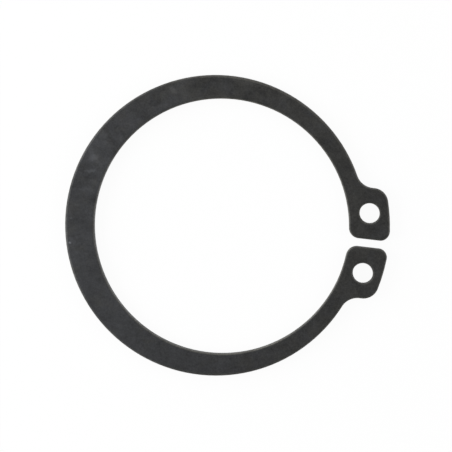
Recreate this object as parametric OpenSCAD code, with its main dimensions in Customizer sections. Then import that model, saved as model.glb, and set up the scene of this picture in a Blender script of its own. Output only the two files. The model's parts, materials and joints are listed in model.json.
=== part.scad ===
// External retaining ring for a 40 mm shaft, stamped from spring steel.
// Units are millimetres. The bore axis is Z, the ring rests on Z = 0, and +X runs out through the gap.
// The free ring is drawn, as it lies before it is sprung open over the shaft.

/* [Ring] */
// Bore of the free ring
bore_d = 36.5; // [32:0.1:42]
// Thickness of the strip it is stamped from
thickness = 1.75; // [1:0.05:2.5]
// Radial width of the band opposite the gap
back_width = 4.15; // [3.5:0.05:5]
// Radial width that the tapering band comes down to on the gap side
neck_width = 2.35; // [2:0.05:2.8]

/* [Lugs] */
// Radial height of the lugs above the bore
lug_height = 5.8; // [5.4:0.05:6.6]
// Length of a lug from its gap face to its back flank
lug_length = 7.3; // [6.6:0.05:8.4]
// Clear gap between the two lugs
gap = 1.2; // [0.6:0.05:3]
// Corner between the bore and the gap face
inner_tip_round = 1.5; // [1:0.05:1.7]
// Corner between the gap face and the lug's outer edge
outer_tip_round = 1.3; // [1:0.05:1.6]
// Corner between the lug's outer edge and its back flank
back_round = 2.2; // [1.5:0.05:2.5]
// Hollow fillet from the back flank into the band
neck_round = 2.6; // [1.8:0.05:2.9]

/* [Plier holes] */
// Diameter of the two plier holes
hole_d = 2.9; // [2:0.05:3.2]
// Height of a hole's centre above the bore
hole_height = 3; // [2.6:0.05:3.4]
// Distance of a hole's centre from the gap face
hole_setback = 3.7; // [3:0.05:4.2]

/* [Edges] */
// Depth of the rounding that the punch draws into the upper edges
upper_roll = 0.2; // [0.05:0.01:0.3]
// Depth of the rounding that tumbling leaves on the lower edges
lower_round = 0.1; // [0.05:0.01:0.2]

/* [Hidden] */
$fn = 128;
steel_grey = "#3c3d3d";

// Circles of the outline: the band's is set back from the bore, which tapers the band towards the lugs
bore_r = bore_d / 2;
band_r = bore_r + (back_width + neck_width) / 2;
band_centre = [-(back_width - neck_width) / 2, 0];
lug_r = bore_r + lug_height;

// Straight edges of the upper lug
gap_y = gap / 2;
flank_y = gap_y + lug_length;

// Point at a height over the mid plane and at a radius from the bore axis, on the gap side
function at(y, radius) = [sqrt(pow(radius, 2) - pow(y, 2)), y];
function bearing(v) = atan2(v[1], v[0]);

hole = at(gap_y + hole_setback, bore_r + hole_height);
// Centres of the upper lug's four rounds, each tangent to the edges on both sides of it
inner_tip = at(gap_y + inner_tip_round, bore_r + inner_tip_round);
outer_tip = at(gap_y + outer_tip_round, lug_r - outer_tip_round);
back_corner = at(flank_y - back_round, lug_r - back_round);
neck = band_centre + at(flank_y + neck_round, band_r + neck_round);

// The rounds stand this much proud of the edges they join, so the surfaces cross cleanly and none just touch
proud = 0.005;
// How far an edge runs on under the neck fillet
lap = 0.6;
// Shape of a rounded edge: its width over its depth, and the radius of its arc over the arc's chord
edge_slant = 1.5;
edge_flatness = 1.2;
// Width of the strip that carries each edge
strip = 0.75 * neck_width;

// Section of an edge strip, with the wall at x = 0 and the steel on the right
module section(width) {
    difference() {
        square([width, thickness]);
        edge_waste(lower_round);
        translate([0, thickness]) mirror([0, 1]) edge_waste(upper_roll);
    }
}

// What rounding takes off a square edge: a flat arc from the face, at the width, to the wall, at the depth
module edge_waste(depth) {
    width = edge_slant * depth;
    r = edge_flatness * norm([width, depth]);
    rise = sqrt(pow(edge_flatness, 2) - 1 / 4);
    difference() {
        translate([-width, -depth]) square(2 * [width, depth]);
        translate([width / 2 + rise * depth, depth / 2 + rise * width]) circle(r);
    }
}

// The section turned about Z, with the steel inside the radius
module boss(r, width, from = 0, to = 360) {
    rotate_extrude(start = from, angle = to - from) translate([r, 0]) mirror([1, 0]) section(width);
}

// The section turned about Z, with the steel outside the radius
module hollow(r, width, from, to) {
    rotate_extrude(start = from, angle = to - from) translate([r, 0]) section(width);
}

// The section along a straight edge that runs to +X with the steel on its left
module straight(length) {
    rotate([90, 0, 90]) linear_extrude(length) section(strip);
}

// Edge of the bore, from one lug tip round the back to the other
module bore_edge() {
    from = bearing(inner_tip);
    hollow(bore_r, strip, from, 360 - from);
}

// Outer edge of the band, running on under both neck fillets
module band_edge() {
    from = bearing(neck - band_centre) - asin(lap / band_r);
    translate(band_centre) boss(band_r, strip, from, 360 - from);
}

// Gap face of the upper lug
module gap_face() {
    translate([inner_tip[0], gap_y, 0]) straight(outer_tip[0] - inner_tip[0]);
}

// Outer edge of the upper lug
module rim() {
    boss(lug_r, strip, bearing(outer_tip), bearing(back_corner));
}

// Back flank of the upper lug, running on under the neck fillet
module back_flank() {
    translate([back_corner[0], flank_y, 0]) rotate(180) straight(max(back_corner[0] - neck[0], 0) + lap);
}

// Round corner of the lug, whose section stops just short of its axis, inside the core
module corner(centre, r) {
    translate(centre) boss(r + proud, r);
}

// Hollow fillet from the back flank into the band
module neck_fillet() {
    translate(neck) hollow(neck_round + proud, strip, 180 + bearing(neck - band_centre), 270);
}

// Plain inside of the ring, which the edge strips overlap all round
module core() {
    linear_extrude(thickness) {
        difference() {
            translate(band_centre) circle(band_r - strip / 2);
            circle(bore_r + strip / 2);
            translate([0, -gap_y - strip / 2]) square([lug_r, gap + strip]);
        }
        lug_core();
        mirror([0, 1]) lug_core();
    }
}

// Four-sided inside of the upper lug, spread from the plier hole a little past the centres of its rounds
module lug_core() {
    spread = 1.2;
    root = (bore_r + neck_width / 2) * [cos(bearing(neck)), sin(bearing(neck))];
    polygon([for (p = [inner_tip, outer_tip, back_corner, root]) hole + spread * (p - hole)]);
}

// Plier hole, with the edges of its two mouths rounded as the outline's are
module plier_hole() {
    r = hole_d / 2;
    translate(hole)
        rotate_extrude() {
            translate([0, -thickness]) square([r, 3 * thickness]);
            translate([r, 0]) edge_waste(lower_round);
            translate([r, thickness]) mirror([0, 1]) edge_waste(upper_roll);
        }
}

// What stands on both sides of the mid plane
module both() {
    children();
    mirror([0, 1, 0]) children();
}

module retaining_ring() {
    color(steel_grey)
        difference() {
            union() {
                core();
                bore_edge();
                band_edge();
                both() gap_face();
                both() rim();
                both() back_flank();
                both() corner(inner_tip, inner_tip_round);
                both() corner(outer_tip, outer_tip_round);
                both() corner(back_corner, back_round);
                both() neck_fillet();
            }
            both() plier_hole();
        }
}

retaining_ring();
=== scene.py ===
# Looks of the external retaining ring: phosphated spring steel on a white table, seen from nearly overhead.
import functools
import json
import math

import bpy
from mathutils import Matrix, Vector


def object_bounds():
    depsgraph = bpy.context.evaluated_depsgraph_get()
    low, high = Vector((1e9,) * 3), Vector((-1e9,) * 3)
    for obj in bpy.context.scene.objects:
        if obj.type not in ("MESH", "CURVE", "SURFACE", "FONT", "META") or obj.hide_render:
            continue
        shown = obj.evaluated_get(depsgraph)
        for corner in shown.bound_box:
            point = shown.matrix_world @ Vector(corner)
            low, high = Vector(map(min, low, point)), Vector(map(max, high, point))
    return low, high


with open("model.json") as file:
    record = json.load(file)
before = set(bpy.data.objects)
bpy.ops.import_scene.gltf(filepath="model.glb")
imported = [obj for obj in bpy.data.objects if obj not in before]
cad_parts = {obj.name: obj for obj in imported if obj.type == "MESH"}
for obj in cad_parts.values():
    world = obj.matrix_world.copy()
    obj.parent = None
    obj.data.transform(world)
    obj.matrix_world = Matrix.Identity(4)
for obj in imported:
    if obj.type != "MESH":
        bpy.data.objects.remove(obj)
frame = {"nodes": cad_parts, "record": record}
cad_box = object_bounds()
ring = frame["nodes"]["retaining_ring"]
mounts = {mount["name"]: mount for mount in frame["record"]["mounts"]}

MM = 0.001
WHITE = (1, 1, 1, 1)

# The photograph's frame: how far the gap points below its horizontal, its width, and where its middle lies
ROLL = math.radians(6.43)
FIELD = 64.52 * MM
MIDDLE_RIGHT = 0.695 * MM
MIDDLE_UP = 0.08 * MM
# The camera stands this far off the vertical, towards the photograph's right and upper edges
TILT_RIGHT = math.radians(3.7)
TILT_UP = math.radians(3.5)
DISTANCE = 0.6

# The photograph's directions, in the ring's own frame
RIGHT = Vector((math.cos(ROLL), math.sin(ROLL), 0))
UP = Vector((-math.sin(ROLL), math.cos(ROLL), 0))
TOP = Vector((0, 0, 1))


# Node helpers

# Level that a noise lies about
NOISE_MIDDLE = 0.5


class Tree:
    """Adds linked nodes to one material."""

    def __init__(self, material):
        material.use_nodes = True
        self.tree = material.node_tree
        self.tree.nodes.clear()

    def feed(self, socket, value):
        """Puts another node's socket or a plain value on an input."""
        if isinstance(value, bpy.types.NodeSocket):
            self.tree.links.new(value, socket)
        else:
            socket.default_value = value

    def add(self, kind, inputs=None, **settings):
        """Makes a node, with its settings and with sockets or plain values on its inputs."""
        made = self.tree.nodes.new(kind)
        for name, value in settings.items():
            setattr(made, name, value)
        for key, value in (inputs or {}).items():
            self.feed(made.inputs[key], value)
        return made

    def finish(self, shader):
        """Shows the shader on the material's surface."""
        self.add("ShaderNodeOutputMaterial", {"Surface": shader.outputs[0]})

    def math(self, operation, *values, clamp=False):
        """One operation on single numbers."""
        inputs = dict(enumerate(values))
        return self.add("ShaderNodeMath", inputs, operation=operation, use_clamp=clamp).outputs[0]

    def total(self, *values):
        """Sum of single numbers."""
        return functools.reduce(functools.partial(self.math, "ADD"), values)

    def product(self, *values):
        """Product of single numbers."""
        return functools.reduce(functools.partial(self.math, "MULTIPLY"), values)

    def vector(self, operation, *values):
        """One operation on vectors."""
        made = self.add("ShaderNodeVectorMath", dict(enumerate(values)), operation=operation)
        return made.outputs["Value" if operation == "LENGTH" else "Vector"]

    def split(self, value):
        """The three parts of a vector."""
        return list(self.add("ShaderNodeSeparateXYZ", {0: value}).outputs)

    def noise(self, place, waves, detail=2.0, roughness=0.5, distortion=0.0):
        """Noise with this many waves to a millimetre."""
        inputs = {"Vector": place, "Scale": waves, "Detail": detail, "Roughness": roughness}
        return self.add("ShaderNodeTexNoise", {**inputs, "Distortion": distortion}).outputs["Fac"]

    def spread(self, value, strength):
        """Noise moved to lie about zero, and made stronger or weaker."""
        return self.product(self.math("SUBTRACT", value, NOISE_MIDDLE), strength)

    def ramp(self, value, span, levels=(0.0, 1.0)):
        """Smooth step from the first level at the span's start to the second at its end."""
        inputs = dict(zip(("Value", "From Min", "From Max", "To Min", "To Max"), (value, *span, *levels)))
        return self.add("ShaderNodeMapRange", inputs, interpolation_type="SMOOTHSTEP").outputs["Result"]

    def blend(self, share, first, second):
        """Colour between two colours."""
        made = self.add("ShaderNodeMix", data_type="RGBA")
        sockets = {socket.identifier: socket for socket in made.inputs}
        self.feed(sockets["Factor_Float"], share)
        self.feed(sockets["A_Color"], first)
        self.feed(sockets["B_Color"], second)
        return next(socket for socket in made.outputs if socket.identifier == "Result_Color")


# Finish of the ring

def grey(level, warm=0.0):
    """Dark grey as a colour, a little olive when warm is above zero and a little violet when it is below."""
    green_share = 0.55
    return (level * (1 + warm), level * (1 + green_share * warm), level * (1 - warm), 1)


# Darkest and palest coat, its tint at both ends, and the steel that shows where the coat is thin, which on
# the edges is made paler still as a painted highlight
COAT_DARK = 0.006
COAT_PALE = 0.134
OLIVE = 0.045
VIOLET = -0.055
RUBBED_STEEL_AND_HIGHLIGHT = grey(0.115, 0.08)
SHEARED_STEEL = grey(0.1, 0.02)
TORN_STEEL = grey(0.045)

# Zones by the upright part of the normal: none on the walls, some on the rounded edges, all on the faces
WALL_SLOPE = (0.12, 0.02)
EDGE_ABOVE_WALL = (0.02, 0.15)
EDGE_BELOW_FACE = (0.95, 0.8)
UPPER_SLOPE = (0.9, 0.98)

# Strength of each noise in the tone of the coat, and shifts that keep noises from lining up with each other
CLOUD_TONE = 0.35
BLOTCH_TONE = 0.31
GRAIN_TONE = 0.25
SPECK_TONE = 0.225
BLOTCH_SHIFT = (31.0, 17.0, 5.0)
TINT_SHIFT = (7.0, 43.0, 11.0)

# Slow changes round the ring: a span in millimetres and the levels at its two ends
# The tone rises towards the back, at -X on the key lamp's side: painted light that makes the lit side of the
# faces paler
LIT_SIDE_SPAN = (8.0, -19.0)
LIT_SIDE_TONE = (0.1175, 0.1925)
# Clouds are strongest where the ring has been handled, at the back and towards +Y
HANDLED_Y = 0.8
HANDLED_SPAN = (2.0, 22.0)
HANDLED_LEVEL = (0.6, 1.0)
# The tint goes from olive at the gap to violet at the back and towards -Y
TINT_AXIS = (0.85, 0.52)
TINT_SPAN = (14.0, -15.0)
TINT_LEVEL = (0.1, 0.95)
TINT_NOISE = 3.0

# The outer edges are evenly rubbed, and the bore's edge is rubbed most towards the gap; this pale steel is
# partly rubbed wear and partly a painted highlight for the light along the rounded edges, strongest on the
# bore's edge towards the gap
BORE_R = mounts["shaft_bore"]["dims"]["r_mm"]
BORE_EDGE = (BORE_R + 0.95, BORE_R + 0.55)
GRIP_AND_HIGHLIGHT_SPAN = (-18.0, 8.0)
GRIP_AND_HIGHLIGHT_LEVEL = (0.45, 1.0)
OUTER_LEVEL = 0.46
RUB_PATCHES = (0.35, 0.6)
RUB_LEVEL = (0.6, 1.0)

# Walls: how far their pattern is drawn out along Z, the height at which the tear starts, and how it wanders
DRAWN_OUT = (1.0, 1.0, 0.06)
TEAR_HEIGHT = (1.05, 0.85)
TEAR_WANDER = 0.5
STREAK_SPAN = (0.35, 0.65)
STREAK_SHARE = (0.2, 0.8)
TEAR_SPAN = (0.4, 0.6)
TEAR_SHARE = (0.2, 0.7)

# Roughness falls from dark coat to pale coat, and is less on rubbed edges and more where a wall is torn
ROUGH_SPAN = (0.025, 0.3)
ROUGH_LEVEL = (0.64, 0.48)
RUBBED_SMOOTHER = 0.14
TORN_ROUGHER = 0.12
RUBBED_METAL = 0.35
SPECULAR = 0.3

# Relief: share of each pattern in the height, and the depth that it stands for
CRYSTAL_RELIEF = 0.5
GRAIN_RELIEF = 0.7
STREAK_RELIEF = 1.6
TEAR_RELIEF = 1.2
RELIEF_STRENGTH = 0.6
RELIEF_DEPTH = 0.012 * MM

# Rubbed marks on the upper face: place to the right of the bore axis and above it in the photograph, half
# length and half width, all in millimetres, then the turn in degrees and how far the mark lightens the coat
MARKS = [
    (-18.2, 9.8, 0.7, 0.45, 20, 0.16),
    (-18.6, 10.7, 0.9, 0.4, 100, 0.08),
    (-17.6, 9.1, 0.8, 0.35, -50, 0.07),
    (-18.7, 7.9, 0.85, 0.2, 0, 0.18),
    (-18.5, 7.1, 0.9, 0.45, 0, -0.08),
    (-16.6, 12.0, 0.4, 0.25, 0, 0.11),
    (-16.8, 13.1, 0.6, 0.5, 0, 0.06),
    (-14.6, 15.7, 1.2, 0.7, 50, 0.05),
    (-6.9, 19.5, 0.7, 0.3, -50, 0.15),
    (-8.2, 17.2, 0.9, 0.4, 20, 0.07),
    (-9.3, 17.7, 1.1, 0.5, 25, -0.06),
    (-2.7, 20.2, 1.2, 0.4, 0, -0.05),
    (5.4, 18.7, 1.8, 0.3, -30, 0.05),
    (-20.6, 3.0, 0.3, 0.2, 0, 0.08),
    (-20.0, 5.3, 1.3, 0.2, 0, 0.05),
    (-21.75, -2.4, 0.2, 0.16, 0, 0.8),
    (-21.55, 1.1, 0.25, 0.2, 0, 0.14),
]
# A mark fades over this span of its half sizes, and its outline wanders by about this many millimetres
MARK_FADE = (1.5, 0.4)
MARK_WANDER = 0.6


class Surface:
    """Places on the ring in millimetres, masks of its zones, and the noises that its features share."""

    def __init__(self, t):
        place = t.add("ShaderNodeTexCoord").outputs
        self.mm = t.vector("MULTIPLY", place["Object"], (1 / MM, 1 / MM, 1 / MM))
        self.flat = t.vector("MULTIPLY", self.mm, (1.0, 1.0, 0.0))
        self.x, self.y, self.z = t.split(self.mm)

        facing = t.split(place["Normal"])[2]
        slope = t.math("ABSOLUTE", facing)
        self.wall = t.ramp(slope, WALL_SLOPE)
        self.edge = t.product(t.ramp(slope, EDGE_ABOVE_WALL), t.ramp(slope, EDGE_BELOW_FACE))
        self.upper = t.ramp(facing, UPPER_SLOPE)

        elsewhere = t.vector("ADD", self.mm, BLOTCH_SHIFT)
        self.clouds = t.noise(self.mm, waves=0.2, detail=4.0, roughness=0.55, distortion=0.8)
        self.blotches = t.noise(elsewhere, waves=0.7, detail=4.0, roughness=0.6, distortion=0.5)
        self.grain = t.noise(self.mm, waves=2.2, detail=4.0, roughness=0.75)
        self.specks = t.noise(self.mm, waves=5.0, roughness=0.6)
        self.crystals = t.add("ShaderNodeTexVoronoi", {"Vector": self.mm, "Scale": 9.0}).outputs["Distance"]

        self.drawn = t.vector("MULTIPLY", self.mm, DRAWN_OUT)
        self.streaks = t.noise(self.drawn, waves=5.5, detail=3.0, roughness=0.65)


def marks(t, on):
    """Sum of the rubbed marks, each an oval with a broken outline."""
    wander = t.add("ShaderNodeTexNoise", {"Vector": on.mm, "Scale": 2.0, "Detail": 3.0}).outputs["Color"]
    wander = t.vector("SUBTRACT", wander, (NOISE_MIDDLE, NOISE_MIDDLE, NOISE_MIDDLE))
    wander = t.vector("MULTIPLY", wander, (MARK_WANDER, MARK_WANDER, 0.0))
    place = t.vector("ADD", on.flat, wander)
    made = []
    for right, up, half_length, half_width, turn, strength in MARKS:
        oval = t.add("ShaderNodeMapping", {
            "Vector": t.vector("SUBTRACT", place, right * RIGHT + up * UP),
            "Rotation": (0, 0, ROLL + math.radians(turn)),
            "Scale": (half_length, half_width, 1.0),
        }, vector_type="TEXTURE").outputs[0]
        made.append(t.ramp(t.vector("LENGTH", oval), MARK_FADE, (0.0, strength)))
    return t.total(*made)


def coat_tone(t, on):
    """How pale the coat is: clouds and blotches over fine grain, the marks, and painted light that makes it
    paler towards the back, on the key lamp's side.
    """
    clouds = t.total(t.spread(on.clouds, CLOUD_TONE), t.spread(on.blotches, BLOTCH_TONE))
    handled = t.math("SUBTRACT", t.product(on.y, HANDLED_Y), on.x)
    clouds = t.product(clouds, t.ramp(handled, HANDLED_SPAN, HANDLED_LEVEL))
    grain = t.total(t.spread(on.grain, GRAIN_TONE), t.spread(on.specks, SPECK_TONE))
    varied = t.total(clouds, grain, t.product(on.upper, marks(t, on)))
    # Painted light: the coat is made paler towards -X, the side the key lamp lights
    return t.math("ADD", varied, t.ramp(on.x, LIT_SIDE_SPAN, LIT_SIDE_TONE), clamp=True)


def coat_colour(t, on, tone):
    """Colour of the coat on the faces, between olive and violet greys."""
    elsewhere = t.vector("ADD", on.mm, TINT_SHIFT)
    tint = t.noise(elsewhere, waves=0.45, detail=4.0, roughness=0.6, distortion=0.5)
    along = t.total(t.product(on.x, TINT_AXIS[0]), t.product(on.y, TINT_AXIS[1]))
    tint = t.math("ADD", t.spread(tint, TINT_NOISE), t.ramp(along, TINT_SPAN, TINT_LEVEL), clamp=True)
    warm = t.blend(tone, grey(COAT_DARK, OLIVE), grey(COAT_PALE, OLIVE))
    cool = t.blend(tone, grey(COAT_DARK, VIOLET), grey(COAT_PALE, VIOLET))
    return t.blend(tint, warm, cool)


def rubbed_and_highlit_edges(t, on):
    """How far the edges are rubbed down towards the steel, a mask that also carries a painted highlight
    along the rounded edges, most on the bore's edge towards the gap.
    """
    # Painted highlight: the bore's edge is made paler towards the gap, where its rim is lit
    gripped_and_highlit = t.ramp(on.x, GRIP_AND_HIGHLIGHT_SPAN, GRIP_AND_HIGHLIGHT_LEVEL)
    worn_and_highlit = t.ramp(t.vector("LENGTH", on.flat), BORE_EDGE, (OUTER_LEVEL, gripped_and_highlit))
    return t.product(on.edge, worn_and_highlit, t.ramp(on.blotches, RUB_PATCHES, RUB_LEVEL))


def torn_walls(t, on):
    """Where the walls are torn, below the smooth land that the punch leaves."""
    tear_line = t.total(on.z, t.spread(t.noise(on.drawn, waves=0.9), TEAR_WANDER))
    return t.product(on.wall, t.ramp(tear_line, TEAR_HEIGHT))


def relief(t, on, torn):
    """Normal over the coat's crystals and grain, the streaks of the walls and the roughness of the tear."""
    height = t.total(
        t.product(on.crystals, CRYSTAL_RELIEF),
        t.product(on.grain, GRAIN_RELIEF),
        t.product(on.streaks, on.wall, STREAK_RELIEF),
        t.product(on.grain, torn, TEAR_RELIEF),
    )
    inputs = {"Height": height, "Strength": RELIEF_STRENGTH, "Distance": RELIEF_DEPTH}
    return t.add("ShaderNodeBump", inputs).outputs["Normal"]


def phosphated_steel():
    """Dark phosphate coat: cloudy, finely crystalline, rubbed and lightened by a painted highlight on its
    edges, and sheared on its walls.
    """
    material = bpy.data.materials.new("phosphated_steel")
    t = Tree(material)
    on = Surface(t)
    tone = coat_tone(t, on)
    # The rubbed mask is part rubbed wear, part painted highlight on the rounded edges
    rubbed = rubbed_and_highlit_edges(t, on)
    torn = torn_walls(t, on)

    # Painted highlight: the edges' pale steel also stands in for the light along the rounded edges
    colour = t.blend(rubbed, coat_colour(t, on, tone), RUBBED_STEEL_AND_HIGHLIGHT)
    sheared_share = t.product(on.wall, t.ramp(on.streaks, STREAK_SPAN, STREAK_SHARE))
    torn_share = t.product(torn, t.ramp(on.grain, TEAR_SPAN, TEAR_SHARE))
    colour = t.blend(sheared_share, colour, SHEARED_STEEL)
    colour = t.blend(torn_share, colour, TORN_STEEL)

    rough = t.math("SUBTRACT", t.ramp(tone, ROUGH_SPAN, ROUGH_LEVEL), t.product(rubbed, RUBBED_SMOOTHER))
    rough = t.total(rough, t.product(torn, TORN_ROUGHER))

    t.finish(t.add("ShaderNodeBsdfPrincipled", {
        "Base Color": colour,
        "Roughness": rough,
        "Metallic": t.product(rubbed, RUBBED_METAL),
        "Normal": relief(t, on, torn),
        "Specular IOR Level": SPECULAR,
    }))
    return material


ring.data.materials.clear()
ring.data.materials.append(phosphated_steel())


# Table

TABLE_HALF = 3.0
TABLE_DROP = 0.02 * MM
TABLE_PAINT = (0.95, 0.95, 0.95, 1)
# Share of plain white in what the camera and mirrors see of the table
TABLE_LIFT = 0.94


def white_table():
    """Plain white table, which the camera and mirrors see lifted to white and which keeps a soft shadow."""
    material = bpy.data.materials.new("white_table")
    t = Tree(material)
    path = t.add("ShaderNodeLightPath").outputs
    mirrored = t.math("MAXIMUM", path["Is Glossy Ray"], path["Is Transmission Ray"])
    seen = t.math("MAXIMUM", path["Is Camera Ray"], mirrored)
    lit = t.add("ShaderNodeBsdfDiffuse", {"Color": TABLE_PAINT})
    glow = t.add("ShaderNodeEmission", {"Color": WHITE, "Strength": 1.0})
    lifted = {0: t.product(seen, TABLE_LIFT), 1: lit.outputs[0], 2: glow.outputs[0]}
    t.finish(t.add("ShaderNodeMixShader", lifted))
    return material


table = bpy.data.meshes.new("table")
corners = [(-1, -1), (1, -1), (1, 1), (-1, 1)]
table.from_pydata([(x * TABLE_HALF, y * TABLE_HALF, -TABLE_DROP) for x, y in corners], [], [(0, 1, 2, 3)])
table.materials.append(white_table())
table_object = bpy.data.objects.new("table", table)
bpy.context.scene.collection.objects.link(table_object)


# Light

SOFTBOX_SIZE = 0.25
ROOM_LIGHT = 0.53


def softbox(name, right, up, height, watts, colour):
    """Square lamp at a place in the photograph's frame, aimed at the ring."""
    lamp = bpy.data.lights.new(name, "AREA")
    lamp.size = SOFTBOX_SIZE
    lamp.energy = watts
    lamp.color = colour
    made = bpy.data.objects.new(name, lamp)
    made.location = right * RIGHT + up * UP + height * TOP
    made.rotation_mode = "QUATERNION"
    made.rotation_quaternion = (-made.location).to_track_quat("-Z", "Y")
    bpy.context.scene.collection.objects.link(made)


softbox("key", right=-0.28, up=0.0, height=0.18, watts=0.65, colour=(0.96, 0.99, 1.0))
softbox("fill", right=0.28, up=0.0, height=0.18, watts=0.30, colour=(1.0, 0.99, 0.97))
softbox("low", right=-0.226, up=0.226, height=0.10, watts=0.46, colour=(1.0, 1.0, 1.0))

world = bpy.data.worlds.new("studio")
world.use_nodes = True
room = world.node_tree.nodes["Background"].inputs
room["Color"].default_value = WHITE
room["Strength"].default_value = ROOM_LIGHT
bpy.context.scene.world = world
bpy.context.scene.view_settings.view_transform = "Standard"


# Camera

SENSOR = 36.0
NEAREST = DISTANCE / 100
FARTHEST = DISTANCE * 100

camera = bpy.data.cameras.new("camera")
camera.sensor_width = SENSOR
camera.lens = SENSOR * DISTANCE / FIELD
camera.clip_start = NEAREST
camera.clip_end = FARTHEST
eye = bpy.data.objects.new("camera", camera)
aim = MIDDLE_RIGHT * RIGHT + MIDDLE_UP * UP + cad_box[1].z * TOP
tilt = Matrix.Rotation(TILT_RIGHT, 3, "Y") @ Matrix.Rotation(-TILT_UP, 3, "X")
turn = Matrix.Rotation(ROLL, 3, "Z") @ tilt
eye.location = aim + DISTANCE * (turn @ TOP)
eye.rotation_euler = turn.to_euler()
bpy.context.scene.collection.objects.link(eye)
bpy.context.scene.camera = eye
